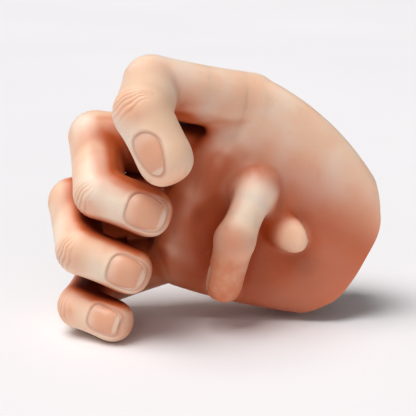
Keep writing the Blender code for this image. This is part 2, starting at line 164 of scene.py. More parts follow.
def addStack(bm, rings, sides=28):
    # a closed form through a row of rings, grown ring by ring from a capped circle
    made = bmesh.ops.create_circle(bm, cap_ends=True, radius=1, segments=sides, matrix=rings[0])
    face = made["verts"][0].link_faces[0]
    for near, far in zip(rings, rings[1:]):
        grown = bmesh.ops.extrude_face_region(bm, geom=[face])["geom"]
        face = next(item for item in grown if isinstance(item, bmesh.types.BMFace))
        bmesh.ops.transform(bm, matrix=far @ near.inverted(), verts=face.verts)


def boneRings(bone, waist=0.035, pad=0.06, tip=False):
    # domes round both ends, a slight waist between them and a soft pad on the palmar side
    nearR, farR = bone["radii"]
    rings = []
    for angle in (-80, -62, -45, -28, -12):
        turn = math.radians(angle)
        r = nearR * math.cos(turn)
        rings.append(ringAt(bone, nearR * math.sin(turn), r, r))
    steps = 12
    for step in range(steps + 1):
        share = step / steps
        r = nearR + (farR - nearR) * share
        full = math.sin(math.pi * share)
        r *= 1 - waist * full
        # fuller towards its neighbours, which it nearly touches
        upper, lower = (size * math.sin(math.pi * share ** skew) for size, skew in bone["swell"])
        rings.append(ringAt(bone, share * bone["long"], r + (upper + lower) / 2,
                            r * (1 + pad * full * 0.5), pad * full * r * 0.5, (upper - lower) / 2))
    power = 2.35 if tip else 2.0  # a fingertip's end is a little blunter than a ball
    for share in (0.2, 0.4, 0.58, 0.73, 0.85, 0.94, 0.985):
        r = farR * (1 - share ** power) ** (1 / power)
        rings.append(ringAt(bone, bone["long"] + farR * share, r, r * (0.97 if tip else 1)))
    return rings


def addBall(bm, centre, radius):
    made = bmesh.ops.create_uvsphere(bm, u_segments=24, v_segments=16, radius=radius)
    bmesh.ops.translate(bm, vec=centre, verts=made["verts"])


def through(values, share):
    first, middle, last = values
    if isinstance(first, tuple):
        first, middle, last = Vector(first), Vector(middle), Vector(last)
    return (first * (2 * share - 1) * (share - 1) + middle * 4 * share * (1 - share)
            + last * share * (2 * share - 1))


def palmPoint(share, turn, fill=1.0):
    power = 2 / palm["square"]
    cos, sin = math.cos(turn), math.sin(turn)
    across = math.copysign(abs(cos) ** power, cos)
    depth = math.copysign(abs(sin) ** power, sin)
    toWrist, radial = Vector(palm["toWrist"]), through(palm["radial"], share)
    palmar = toWrist.cross(radial).normalized()
    radial = palmar.cross(toWrist).normalized()
    at = through(palm["centre"], share)
    at += radial * across * through(palm["wide"], share) * fill
    arch = across ** 2 * through(palm["arch"], share)
    at += palmar * (depth * through(palm["deep"], share) * fill + arch)
    at += toWrist * through(palm["bow"], share) * (1 - across ** 2)
    return at * mm + shift


def addPalm(bm):
    sides = 72
    rows = [(-0.14 + 1.14 * step / 18, 1.0) for step in range(19)]
    rows += [(1.045, 0.975), (1.085, 0.93), (1.115, 0.85), (1.135, 0.72), (1.145, 0.5)]
    last = None
    for share, fill in rows:
        ring = bmesh.ops.create_circle(bm, segments=sides, radius=1)["verts"]
        for number, vert in enumerate(ring):
            vert.co = palmPoint(share, 2 * math.pi * number / sides, fill)
        edges = list({edge for vert in ring for edge in vert.link_edges})
        if last is None:
            bmesh.ops.contextual_create(bm, geom=edges)
        else:
            bmesh.ops.bridge_loops(bm, edges=last + edges)
        last = edges
    bmesh.ops.contextual_create(bm, geom=last)


def applied(obj):
    # the object's mesh with its modifiers applied
    graph = bpy.context.evaluated_depsgraph_get()
    mesh = bpy.data.meshes.new_from_object(obj.evaluated_get(graph))
    obj.modifiers.clear()
    obj.data = mesh
    return obj


def newObject(name, bm):
    mesh = bpy.data.meshes.new(name)
    bm.to_mesh(mesh)
    bm.free()
    obj = bpy.data.objects.new(name, mesh)
    scene.collection.objects.link(obj)
    return obj


fusing = {"palmVoxel": 0.95 * mm, "palmRounds": 5, "fingerVoxel": 0.9 * mm, "fingerRounds": 4}


def smoothed(bm, verts, times):
    everyWay = {"use_axis_x": True, "use_axis_y": True, "use_axis_z": True}
    for _ in range(times):
        bmesh.ops.smooth_vert(bm, verts=verts, factor=0.5, **everyWay)


def fused(name, bm, voxel, rounds, soften):
    # overlapping forms become one skin: remeshed, smoothed, and smoothed further round the soft places
    bmesh.ops.recalc_face_normals(bm, faces=bm.faces)
    obj = newObject(name, bm)
    remesh = obj.modifiers.new("fuse", "REMESH")
    remesh.mode = "VOXEL"
    remesh.voxel_size = voxel
    applied(obj)
    bm = bmesh.new()
    bm.from_mesh(obj.data)
    for centre, reach, times in soften:
        smoothed(bm, [vert for vert in bm.verts if (vert.co - centre).length < reach], times)
    smoothed(bm, bm.verts, rounds)
    bm.to_mesh(obj.data)
    bm.free()
    finer = obj.modifiers.new("finer", "SUBSURF")
    finer.levels = finer.render_levels = 1
    return applied(obj)


seams = {"knuckle": 5.0 * mm, "knuckleThumb": 7.0 * mm, "thumb": 0.66, "proximal": 0.52, "middle": 0.5}


def palmForm():
    bm = bmesh.new()
    addPalm(bm)
    soften = []
    order = ["index", "middle", "ring", "little"]
    for finger in order:
        bone = bones[finger][0]
        addStack(bm, boneRings(bone))
        fullness, back = (0.9, 1.6) if finger == "index" else (1.02, 2.4)
        addBall(bm, bone["near"] - bone["palmar"] * back * mm, bone["radii"][0] * fullness)
    for one, other in zip(order, order[1:]):
        a, b = bones[one][0], bones[other][0]
        outward = a["along"] + b["along"]
        web = (a["near"] + b["near"]) / 2 + outward * 0.7 * mm
        addBall(bm, web, 6.6 * mm)
        soften.append((web + outward * 3 * mm, 9 * mm, 14))
    for bone in bones["thumb"]:
        addStack(bm, boneRings(bone, waist=0.02, pad=0.02, tip=bone["body"] == "thumb_tip"))
    bend = bones["thumb"][1]  # room for the link's barrel at the back of the thumb's bend
    addBall(bm, bend["near"] - bend["palmar"] * 0.8 * mm, bend["radii"][0] * 1.07)
    root = bones["thumb"][0]
    addStack(bm, [ringAt(root, along * mm, r * mm, r * mm) for along, r in palm["thumbRoot"]])
    soften.append((root["near"] + root["along"] * 2 * mm, 17 * mm, 60))
    tongue = palm["tongue"]
    start, end = Vector(tongue["root"]) * mm + shift, Vector(tongue["end"]) * mm + shift
    along = unit(end - start)
    wideWay = Vector(tongue["across"])
    wideWay = unit(wideWay - along * along.dot(wideWay))
    deepWay = along.cross(wideWay)
    rings = []
    for share, size in tongue["rings"]:
        m = Matrix((wideWay * tongue["wide"] * size * mm, deepWay * tongue["deep"] * size * mm, along))
        m = m.transposed().to_4x4()
        m.translation = start.lerp(end, share)
        rings.append(m)
    addStack(bm, rings)
    return fused("palmForm", bm, fusing["palmVoxel"], fusing["palmRounds"], soften)


def fingerForm(finger):
    bm = bmesh.new()
    for bone in bones[finger]:
        addStack(bm, boneRings(bone, tip=bone["body"].endswith("_tip")))
    for bone in bones[finger][1:]:  # the knuckle's own roundness on the back of each bend
        addBall(bm, bone["near"], bone["radii"][0] * 1.015)
    soften = [(bone["near"] + bone["palmar"] * bone["radii"][0], 3.2 * mm, 2) for bone in bones[finger][1:]]
    return fused(finger + "Form", bm, fusing["fingerVoxel"], fusing["fingerRounds"], soften)


palmSkin = palmForm()
fingerSkins = {finger: fingerForm(finger) for finger in ("index", "middle", "ring", "little")}
print("skins fused:", len(palmSkin.data.vertices), [len(o.data.vertices) for o in fingerSkins.values()])


def coords(mesh):
    co = np.empty(len(mesh.vertices) * 3, np.float32)
    mesh.vertices.foreach_get("co", co)
    return co.reshape(-1, 3).astype(float)


def normalsOf(mesh):
    found = np.empty(len(mesh.vertices) * 3, np.float32)
    mesh.vertices.foreach_get("normal", found)
    return found.reshape(-1, 3).astype(float)


def local(bone, co):
    # along the bone, towards the palm, along the pin, in metres from its near joint
    rel = co - np.array(bone["near"])
    return rel @ np.array(bone["along"]), rel @ np.array(bone["palmar"]), rel @ np.array(bone["pin"])


def awayFrom(point, co):
    return np.linalg.norm(co - np.array(point), axis=1)


def bell(x, width):
    return np.exp(-(x / width) ** 2)


def fade(low, high, x):
    t = np.clip((x - low) / (high - low), 0, 1)
    return t * t * (3 - 2 * t)


def nailFrame(finger):
    # the plate's middle and outward side, read from the frame's own nail
    bone = bones[finger][-1]
    verts = frame["nodes"][finger + "_nail"].data.vertices
    middle = sum((v.co for v in verts), Vector()) / len(verts)
    rel = middle - bone["far"]
    out = unit(rel - bone["along"] * rel.dot(bone["along"]))
    return {"bone": bone, "out": out, "side": bone["along"].cross(out), "along": rel.dot(bone["along"])}


def nailEdge(finger, x, y):
    # below 1 inside the plate, 1 on its outline: x towards the free edge, y across, in metres
    nail = fingers[finger]["nail"]
    half, wide = nail["long"] * mm / 2, nail["wide"] * mm / 2
    narrow = 1 - nail["taper"] * np.clip(x / half, -0.4, 1.3)
    power = nail["corner"]
    return ((np.abs(x) / half) ** power + (np.abs(y) / (wide * narrow)) ** power) ** (1 / power)


def nailPress(finger, co):
    # the bed sinks a little, a fold of skin stands round the sides and the cuticle
    spot = nailFrame(finger)
    bone = spot["bone"]
    rel = co - np.array(bone["far"])
    x = rel @ np.array(bone["along"]) - spot["along"]
    out, side = rel @ np.array(spot["out"]), rel @ np.array(spot["side"])
    turn = np.arctan2(side, out)
    y = turn * np.hypot(side, out).clip(1 * mm)
    away = (nailEdge(finger, x, y) - 1) * fingers[finger]["nail"]["wide"] * mm / 2
    facing = fade(0, 2 * mm, out)
    half = fingers[finger]["nail"]["long"] * mm / 2
    nearEnd = 1 - fade(0.15, 0.75, x / half)  # no fold at the free edge
    bed = -0.45 * mm * (1 - fade(-0.5 * mm, 0.15 * mm, away))
    fold = 0.14 * mm * bell(away - 0.9 * mm, 0.8 * mm) * (0.2 + 0.8 * nearEnd)
    groove = -0.28 * mm * bell(away - 0.15 * mm, 0.4 * mm) * (0.5 + 0.5 * nearEnd)
    # this line along the groove later becomes painted shade in the skin's colour
    line = bell(away - 0.25 * mm, 0.42 * mm) * facing
    return (bed + fold + groove) * facing, line


# wrinkles over each bent joint, in millimetres: distance past the joint, depth, width, and the reach round
# the finger as a share of its radius
backLines = {
    "middle": ((-5.2, 0.14, 0.6, 0.5), (-3.1, 0.26, 0.6, 0.75), (-1.1, 0.32, 0.6, 0.9),
               (1.0, 0.3, 0.6, 0.85), (3.0, 0.24, 0.6, 0.7), (5.0, 0.14, 0.6, 0.5)),
    "tip": ((-4.0, 0.14, 0.5, 0.6), (-2.2, 0.28, 0.5, 0.9), (-0.6, 0.3, 0.5, 1.0), (1.2, 0.26, 0.5, 0.9),
            (3.2, 0.18, 0.5, 0.7)),
}


def wrinkles(finger, co):
    total = np.zeros(len(co))
    for number, bone in enumerate(bones[finger]):
        if number == 0 or finger == "thumb":
            continue
        before = bones[finger][number - 1]
        across = local(bone, co)[2] / bone["radii"][0]
        # the way round the back of the bend is an arc about the pin
        outA = -(np.array(before["palmar"]) + np.array(bone["palmar"]))
        outA /= np.linalg.norm(outA)
        rel = co - np.array(bone["near"])
        outward = rel @ outA
        onward = np.cross(np.array(bone["pin"]), outA)
        if np.array(bone["along"]) @ onward < 0:
            onward = -onward
        arc = np.arctan2(rel @ onward, outward) * bone["radii"][0] / mm
        wave = 0.35 * np.sin(across * 4.1 + number * 2 + len(finger))
        wave += 0.25 * np.sin(across * 9.3 + arc * 0.3)
        kind = "tip" if bone["body"].endswith("_tip") else "middle"
        for at, depth, width, reach in backLines[kind]:
            bend = at * 0.15 * across ** 2
            line = bell(arc - at - bend - wave, width) * bell(across, reach)
            total -= line * depth * 1.25 * mm * fade(0, 3 * mm, outward)
    return total


def pressed(obj, amount):
    co = coords(obj.data)
    co += normalsOf(obj.data) * amount[:, None]
    obj.data.vertices.foreach_set("co", co.astype(np.float32).ravel())
    obj.data.update()


def palmFolds(co):
    # long shallow waves that run down to the rim, and the crease where the index leaves the palm
    design = (co - np.array(shift)) / mm
    toWrist = design @ np.array(unit(palm["toWrist"]))
    down = design @ np.array((0.5, 0.05, 0.865))
    facing = fade(16, 6, design[:, 1])
    nearRim = fade(26, 44, toWrist)
    waves = np.sin(down * 0.42 + toWrist * 0.11) * 0.5 + np.sin(down * 0.23 - toWrist * 0.16 + 1.3) * 0.5
    total = waves * 0.7 * mm * nearRim * facing
    for finger in ("index", "middle", "ring", "little"):
        bone = bones[finger][0]
        s, p, z = local(bone, co)
        line = bell(s / mm - 4.2 - 0.018 * (z / mm) ** 2, 0.8) * fade(0, 5 * mm, p) * bell(z / mm, 9)
        total -= line * 0.22 * mm
    return total


def addField(mesh, name, values, kind="FLOAT"):
    layer = mesh.attributes.get(name) or mesh.attributes.new(name, kind, "POINT")
    slot = "vector" if kind == "FLOAT_VECTOR" else "value"
    layer.data.foreach_set(slot, values.astype(np.float32).ravel())


def pressDetails(obj, finger, folds):
    co = coords(obj.data)
    bed, line = nailPress(finger, co)
    lines = folds(co)
    pressed(obj, lines + bed)
    wrinkle = -lines / (0.42 * mm) * (finger != "thumb")  # the palm's soft waves aren't drawn as lines
    # painted shade: the nail's outline and the joint wrinkles are darkened in the colour, as the shade in
    # their grooves
    addField(obj.data, "creaseShade", np.clip(np.maximum(line, wrinkle), 0, 1))


pressDetails(palmSkin, "thumb", palmFolds)
for finger, skin in fingerSkins.items():
    pressDetails(skin, finger, lambda co: wrinkles(finger, co))
print("creases and nail folds pressed in")


def skyDirections(count=11):
    # cosine-weighted directions round +Z, on a golden spiral
    made = []
    for number in range(count):
        share = (number + 0.5) / count
        turn = number * math.pi * (3 - math.sqrt(5))
        out = math.sqrt(share)
        made.append((out * math.cos(turn), out * math.sin(turn), math.sqrt(1 - share)))
    return np.array(made)


# painted shade: how shut in each point is by the skin round it, an ambient occlusion that darkens the base
# colour in the hollows
def hollowShadeOf(mesh, tree, reach=0.07):
    co, normals = coords(mesh), normalsOf(mesh)
    sky = skyDirections()
    side = np.cross(normals, np.where(np.abs(normals[:, 2:3]) < 0.9, [[0.0, 0.0, 1.0]], [[1.0, 0.0, 0.0]]))
    side /= np.linalg.norm(side, axis=1)[:, None]
    other = np.cross(normals, side)
    shut = np.zeros(len(co))
    starts = co + normals * 0.5 * mm
    for x, y, z in sky:
        ways = side * x + other * y + normals * z
        for number, (start, way) in enumerate(zip(starts.tolist(), ways.tolist())):
            far = tree.ray_cast(start, way, reach)[3]
            if far is not None:
                shut[number] += 1 - 0.5 * far / reach
    shut /= len(sky)
    ends = np.empty(len(mesh.edges) * 2, np.int32)
    mesh.edges.foreach_get("vertices", ends)
    ends = ends.reshape(-1, 2)
    for _ in range(14):  # evened out over the neighbours
        total, count = shut.copy(), np.ones(len(shut))
        for a, b in ((0, 1), (1, 0)):
            np.add.at(total, ends[:, a], shut[ends[:, b]])
            np.add.at(count, ends[:, a], 1)
        shut = total / count
    return shut


def shadeLiftMask(co):
    # 1 on the thumb and the tongue, which stand clear of the hollow; there the painted hollow shade is
    # lifted, a painted lightening
    total = np.zeros(len(co))
    for bone in bones["thumb"]:
        s, p, z = local(bone, co)
        past = np.maximum(s - bone["long"], 0) + np.maximum(3 * mm - s, 0)
        total = np.maximum(total, fade(13 * mm, 7.5 * mm, np.hypot(np.hypot(p, z), past)))
    tongue = palm["tongue"]
    end = Vector(tongue["root"]).lerp(Vector(tongue["end"]), 0.9) * mm + shift
    return np.maximum(total, fade(10 * mm, 6.5 * mm, awayFrom(end, co)))


def shadeHollows():
    corners, faces = [], []
    for obj in [palmSkin, *fingerSkins.values()]:
        first = len(corners)
        corners += [tuple(v.co) for v in obj.data.vertices]
        faces += [tuple(first + index for index in face.vertices) for face in obj.data.polygons]
    tree = BVHTree.FromPolygons(corners, faces)
    for obj in [palmSkin, *fingerSkins.values()]:
        addField(obj.data, "hollowShade", hollowShadeOf(obj.data, tree) * (1 - 0.55 * shadeLiftMask(coords(obj.data))))


shadeHollows()
print("hollows measured")


def nearestFinger(point):
    best = None
    for finger, chain in bones.items():
        bone = chain[0]
        along = min(max((point - bone["near"]).dot(bone["along"]), 0), bone["long"])
        far = (point - bone["near"] - bone["along"] * along).length / bone["radii"][0]
        if best is None or far < best[0]:
            best = (far, finger)
    return best[1]


def beyond(bone, distance, point):
    return (point - bone["near"]).dot(bone["along"]) > distance


def offAxis(bone, point):
    rel = point - bone["near"]
    return (rel - bone["along"] * rel.dot(bone["along"])).length


def cutAt(bm, bone, distance, reach):
    # cuts the skin with a plane across the bone, round that bone only
    plane = bone["near"] + bone["along"] * distance
    faces = [f for f in bm.faces if offAxis(bone, f.calc_center_median()) < reach
             and abs((f.calc_center_median() - plane).dot(bone["along"])) < 2.5 * mm]
    geom = list({v for f in faces for v in f.verts}) + list({e for f in faces for e in f.edges}) + faces
    bmesh.ops.bisect_plane(bm, geom=geom, plane_co=plane, plane_no=bone["along"], dist=0.02 * mm)


def pieceOf(bm, name, keep):
    # a copy of the skin with only the faces that belong to the piece
    part = bm.copy()
    lost = [f for f in part.faces if not keep(f.calc_center_median())]
    bmesh.ops.delete(part, geom=lost, context="FACES")
    return newObject(name, part)


def insideOf(finger, distance, reach=1.55):
    bone = bones[finger][0]

    def test(point):
        return (beyond(bone, distance, point) and offAxis(bone, point) < bone["radii"][0] * reach
                and nearestFinger(point) == finger)
    return test


def joinedTo(bm, start, keep):
    # the face nearest the start, and every face that it joins through faces that pass the test
    first = min(bm.faces, key=lambda f: (f.calc_center_median() - start).length)
    found, waiting = {first}, [first]
    while waiting:
        for edge in waiting.pop().edges:
            for face in edge.link_faces:
                if face not in found and keep(face.calc_center_median()):
                    found.add(face)
                    waiting.append(face)
    return found


def splitPalm():
    bm = bmesh.new()
    bm.from_mesh(palmSkin.data)
    wrist = through(palm["centre"], 0) * mm + shift
    toWrist = unit(palm["toWrist"])
    radial = Vector(palm["radial"][0])
    radial = unit(radial - toWrist * radial.dot(toWrist))

    # the curved rim is laid in a plane for the cut, and bent back after it
    curve = bm.verts.layers.float.new("curve")
    for vert in bm.verts:
        back = (wrist - vert.co).dot(toWrist) / (palm["long"] * mm)
        wide = through(palm["wide"], min(max(back, 0), 0.6)) * mm
        across = min(abs((vert.co - wrist).dot(radial)) / wide, 1.05)
        vert[curve] = (palm["bow"][0] * (1 - across ** 2) - palm["corner"] * across ** 5) * mm
        vert.co -= toWrist * vert[curve]
    bmesh.ops.bisect_plane(bm, geom=bm.verts[:] + bm.edges[:] + bm.faces[:],
                           plane_co=wrist + toWrist * 0.3 * mm, plane_no=toWrist, clear_outer=True)
    for vert in bm.verts:
        vert.co += toWrist * vert[curve]
    bm.verts.layers.float.remove(curve)
    bases, ends = {}, {}
    for finger in ("index", "middle", "ring", "little"):
        bone = bones[finger][0]
        cutAt(bm, bone, seams["knuckle"], bone["radii"][0] * 1.6)
        cutAt(bm, bone, seams["proximal"] * bone["long"], bone["radii"][0] * 1.5)
        bases[finger] = insideOf(finger, seams["knuckle"])
        ends[finger] = seams["proximal"] * bone["long"]
    thumb = bones["thumb"][0]
    cutAt(bm, thumb, seams["knuckleThumb"], thumb["radii"][0] * 1.5)
    cutAt(bm, thumb, seams["thumb"] * thumb["long"], thumb["radii"][0] * 1.5)
    made = {}

    def nearThumb(point):
        if not beyond(thumb, seams["knuckleThumb"], point):
            return False
        for bone in bones["thumb"]:
            along = min(max((point - bone["near"]).dot(bone["along"]), 0), bone["long"])
            if (point - bone["near"] - bone["along"] * along).length < bone["radii"][0] * 1.35:
                return True
        return False
    tipBone = bones["thumb"][-1]
    pole = tipBone["far"] + tipBone["along"] * tipBone["radii"][1]
    thumbOnly = {tuple(f.calc_center_median()) for f in joinedTo(bm, pole, nearThumb)}

    def onThumb(point):
        return tuple(point) in thumbOnly
    thumbEnd = seams["thumb"] * thumb["long"]
    made["thumb_tip"] = pieceOf(bm, "thumbTipSkin", lambda p: onThumb(p) and beyond(thumb, thumbEnd, p))
    made["thumb_base"] = pieceOf(
        bm, "thumbBaseSkin", lambda p: onThumb(p) and not beyond(thumb, thumbEnd, p))
    for finger, test in bases.items():
        bone = bones[finger][0]
        made[finger + "_proximal"] = pieceOf(
            bm, finger + "BaseSkin", lambda p: test(p) and not beyond(bone, ends[finger], p))
    made["palm"] = pieceOf(bm, "palmSkin", lambda p: not onThumb(p) and not any(
        test(p) for test in bases.values()))
    bm.free()
    bpy.data.objects.remove(palmSkin)
    return made


def splitFinger(finger):
    skin = fingerSkins[finger]
    bm = bmesh.new()
    bm.from_mesh(skin.data)
    first, second = bones[finger][0], bones[finger][1]
    cuts = (seams["proximal"] * first["long"], seams["middle"] * second["long"])
    reach = first["radii"][0] * 1.5
    cutAt(bm, first, cuts[0], reach)
    cutAt(bm, second, cuts[1], second["radii"][0] * 1.5)

    def onFirst(p):  # still on the near side of the first seam
        along = min(max((p - first["near"]).dot(first["along"]), 0), first["long"])
        far = (p - first["near"] - first["along"] * along).length
        other = min(max((p - second["near"]).dot(second["along"]), 0), second["long"])
        farOther = (p - second["near"] - second["along"] * other).length
        return not beyond(first, cuts[0], p) and far < reach and far < farOther + 3 * mm

    def onTip(p):
        return beyond(second, cuts[1], p) and not onFirst(p)
    tip = pieceOf(bm, finger + "TipSkin", onTip)
    middle = pieceOf(bm, finger + "MiddleSkin", lambda p: not onFirst(p) and not onTip(p))
    bm.free()
    bpy.data.objects.remove(skin)
    return {finger + "_middle": middle, finger + "_tip": tip}


skins = splitPalm()
for finger in ("index", "middle", "ring", "little"):
    skins.update(splitFinger(finger))
print("skins split:", {name: len(obj.data.polygons) for name, obj in skins.items()})


class Value:
    # a shader socket that takes part in Python expressions
    def __init__(self, socket):
        self.socket = socket
        self.tree = socket.id_data

    def maths(self, operation, *others):
        return self.node("ShaderNodeMath", {"operation": operation}, dict(enumerate(others)))

    def node(self, kind, settings, sockets, output=0):
        made = self.tree.nodes.new(kind)
        for name, value in settings.items():
            setattr(made, name, value)
        for name, value in sockets.items():
            if isinstance(value, Value):
                self.tree.links.new(value.socket, made.inputs[name])
            else:
                made.inputs[name].default_value = value
        return Value(made.outputs[output])

    def __add__(self, other): return self.maths("ADD", self, other)
    def __radd__(self, other): return self.maths("ADD", other, self)
    def __mul__(self, other): return self.maths("MULTIPLY", self, other)
    def __rmul__(self, other): return self.maths("MULTIPLY", other, self)

    def step(self, low, high):
        return self.node("ShaderNodeMapRange", {"interpolation_type": "SMOOTHSTEP"},
                         {"Value": self, "From Min": low, "From Max": high})

    def tint(self, first, second):
        # first colour where the value is 0, second where it is 1
        colours = [(*c, 1) if isinstance(c, tuple) else c for c in (first, second)]
        return self.node("ShaderNodeMix", {"data_type": "RGBA"}, {0: self, 6: colours[0], 7: colours[1]}, 2)


def linear(red, green, blue):
    def one(c):
        c /= 255
        return c / 12.92 if c < 0.04045 else ((c + 0.055) / 1.055) ** 2.4
    return (one(red), one(green), one(blue))


def newMaterial(name):
    made = bpy.data.materials.new(name)
    made.use_nodes = True
    shader = made.node_tree.nodes["Principled BSDF"]
    return made, shader


def readFrom(shader, kind, settings, output):
    made = shader.id_data.nodes.new(kind)
    for name, value in settings.items():
        setattr(made, name, value)
    return Value(made.outputs[output])


def feed(shader, name, value):
    shader.id_data.links.new(value.socket, shader.inputs[name])


def fieldOf(shader, name, output="Fac"):
    # a value or vector that the mesh carries at each point
    return readFrom(shader, "ShaderNodeAttribute", {"attribute_name": name}, output)


def noise(place, scale, detail, **more):
    return place.node("ShaderNodeTexNoise", {}, {"Vector": place, "Scale": scale, "Detail": detail, **more})


def bumpOf(height, strength, depth):
    sockets = {"Strength": strength, "Distance": depth * mm, "Height": height}  # depth in millimetres
    return height.node("ShaderNodeBump", {}, sockets)


skinLook = {
    "finger": linear(252, 208, 180),
    "pale": linear(255, 228, 209),
    "flush": linear(226, 138, 98),
    # palm: painted shade tone where the skin is a little shut in
    "palm": linear(206, 112, 66),
    # partly the palm's redder tone and partly painted shade, for the palm's hollow side
    "bowlToneAndShade": linear(188, 90, 42),
    # deep: painted shade tone for the deepest hollows
    "deep": linear(110, 34, 8),
    # line: painted shade colour for the creases
    "line": linear(168, 84, 54),
}


def skinMaterial():
    made, shader = newMaterial("skinSilicone")
    rest = fieldOf(shader, "rest", "Vector")
    palmToneAndShade, hollowShade, creaseShade, flush = (fieldOf(shader, name) for name in ("palmToneAndShade", "hollowShade", "creaseShade", "flush"))
    mottle = noise(rest, 190, 4, Roughness=0.6)
    broad = noise(rest, 55, 2)
    base = broad.step(0.35, 0.68).tint(skinLook["finger"], skinLook["pale"])
    # painted shade: the hollows darken the skin towards the palm tone and, deepest, towards dark brown
    base = hollowShade.step(0.04, 0.46).tint(base, skinLook["palm"])
    base = hollowShade.step(0.36, 0.74).tint(base, skinLook["deep"])
    # partly the palm's redder tone and partly painted shade: the palm's hollow side and the palm side of the
    # first bones darken
    base = (palmToneAndShade * 0.85).tint(base, skinLook["bowlToneAndShade"])
    blush = (flush * (0.6 + mottle * 0.8)).step(0.0, 1.2)
    base = blush.tint(base, skinLook["flush"])
    base = (mottle.step(0.58, 0.8) * 0.22).tint(base, skinLook["flush"])
    # painted shade along the nail folds and the joint wrinkles
    base = (creaseShade * 0.42).tint(base, skinLook["line"])
    feed(shader, "Base Color", base)
    cells = rest.node("ShaderNodeTexVoronoi", {"feature": "DISTANCE_TO_EDGE"},
                      {"Vector": rest, "Scale": 900})
    pores = noise(rest, 1500, 2)
    feed(shader, "Normal", bumpOf(cells.step(0.0, 0.25) * 0.5 + pores * 0.5 + mottle * 1.2, 0.35, 0.12))
    feed(shader, "Roughness", 0.38 + pores * 0.16)
    shader.inputs["Subsurface Weight"].default_value = 0.28
    shader.inputs["Subsurface Radius"].default_value = (1.0, 0.36, 0.18)
    shader.inputs["Subsurface Scale"].default_value = 0.004
    shader.inputs["Specular IOR Level"].default_value = 0.45
    return made


nailLook = {
    "root": linear(244, 200, 176),
    "middle": linear(234, 176, 146),
    "free": linear(246, 214, 194),
    "sides": linear(208, 134, 106),
    "rise": 0.55,  # the plate over its bed, the drop at its edges and its thickness, in millimetres
    "drop": 0.5,
    "thick": 0.5,
    "dropAtFree": 0.3,  # the share of that drop at the free edge
}


def nailMaterial():
    made, shader = newMaterial("nailPlate")
    along, across = fieldOf(shader, "nailLong"), fieldOf(shader, "nailWide")
    cloud = noise(fieldOf(shader, "rest", "Vector"), 260, 3)
    base = (along + cloud * 0.2).step(0.1, 0.5).tint(nailLook["root"], nailLook["middle"])
    base = ((along + cloud * 0.04).step(0.86, 0.93) * 0.75).tint(base, nailLook["free"])
    base = (across.maths("ABSOLUTE", across).step(0.84, 1.0) * 0.35).tint(base, nailLook["sides"])
    feed(shader, "Base Color", base)
    ridges = across.node("ShaderNodeTexNoise", {"noise_dimensions": "1D"},
                         {"W": across, "Scale": 14, "Detail": 2})
    feed(shader, "Normal", bumpOf(ridges, 0.25, 0.1))
    feed(shader, "Roughness", 0.34 + cloud * 0.12)
    shader.inputs["Subsurface Weight"].default_value = 0.15
    shader.inputs["Subsurface Radius"].default_value = (1.0, 0.4, 0.25)
    shader.inputs["Subsurface Scale"].default_value = 0.002
    shader.inputs["Coat Weight"].default_value = 0.12
    shader.inputs["Coat Roughness"].default_value = 0.25
    return made


def metalMaterial(name, colour, rough, scale, stretch=(1, 1, 1)):
    # blasted, milled or ground metal: a fine grain in the bump and the roughness
    made, shader = newMaterial(name)
    place = readFrom(shader, "ShaderNodeTexCoord", {}, "Object")
    turned = place.node("ShaderNodeMapping", {}, {"Vector": place, "Scale": stretch})
    grain = noise(turned, scale, 5)
    wear = noise(place, 160, 3)
    dark = tuple(c * 0.72 for c in colour)
    feed(shader, "Base Color", wear.step(0.35, 0.7).tint(dark, colour))
    feed(shader, "Roughness", rough + grain * 0.2)
    feed(shader, "Normal", bumpOf(grain, 0.4, 0.05))
    shader.inputs["Metallic"].default_value = 1.0
    return made


def linerMaterial():
    made, shader = newMaterial("linerSilicone")
    place = readFrom(shader, "ShaderNodeTexCoord", {}, "Object")
    cloud, fine = noise(place, 90, 4), noise(place, 1400, 2)
    feed(shader, "Base Color", cloud.step(0.35, 0.7).tint(linear(214, 176, 152), linear(228, 196, 176)))
    feed(shader, "Roughness", 0.6 + fine * 0.2)
    feed(shader, "Normal", bumpOf(fine, 0.3, 0.1))
    return made


skin = skinMaterial()
plate = nailMaterial()
print("materials made")


def palmToneAndShadeOf(co):
    # the palm's redder tone and painted shade on its hollow side, strongest low down and away from its lit
    # upper border
    design = (co - np.array(shift)) / mm
    toWrist, radial = np.array(unit(palm["toWrist"])), np.array(unit(palm["radial"][1]))
    middle = np.array(palm["centre"][1], float)
    along, across = (design - middle) @ toWrist, (design - middle) @ radial
    hollow = fade(31, 2, across) * fade(20, 9, design[:, 1]) * fade(-34, -16, along)
    for bone in bones["thumb"]:
        s, p, z = local(bone, co)
        hollow = hollow * fade(6.4 * mm, 9.5 * mm, np.hypot(np.hypot(p, z), np.maximum(s - bone["long"], 0)
                                                          + np.maximum(4 * mm - s, 0)))
    tongue = Vector(palm["tongue"]["end"]) * mm + shift  # the tongue's end catches the light too
    hollow = hollow * fade(4.5 * mm, 8.5 * mm, awayFrom(tongue, co))
    for finger in ("index", "middle", "ring", "little"):  # and the palm side of each first bone
        bone = bones[finger][0]
        s, p, z = local(bone, co)
        r = bone["radii"][0]
        under = fade(-0.1, 0.8, p / r) * fade(1.7, 1.2, np.hypot(p, z) / r)
        under *= 0.25 if finger == "index" else 0.8  # the index stands in the light
        under *= fade(-2, 6, s / mm) * fade(1.25, 0.95, s / bone["long"])
        hollow = np.maximum(hollow, under)
    return np.clip(hollow, 0, 1)


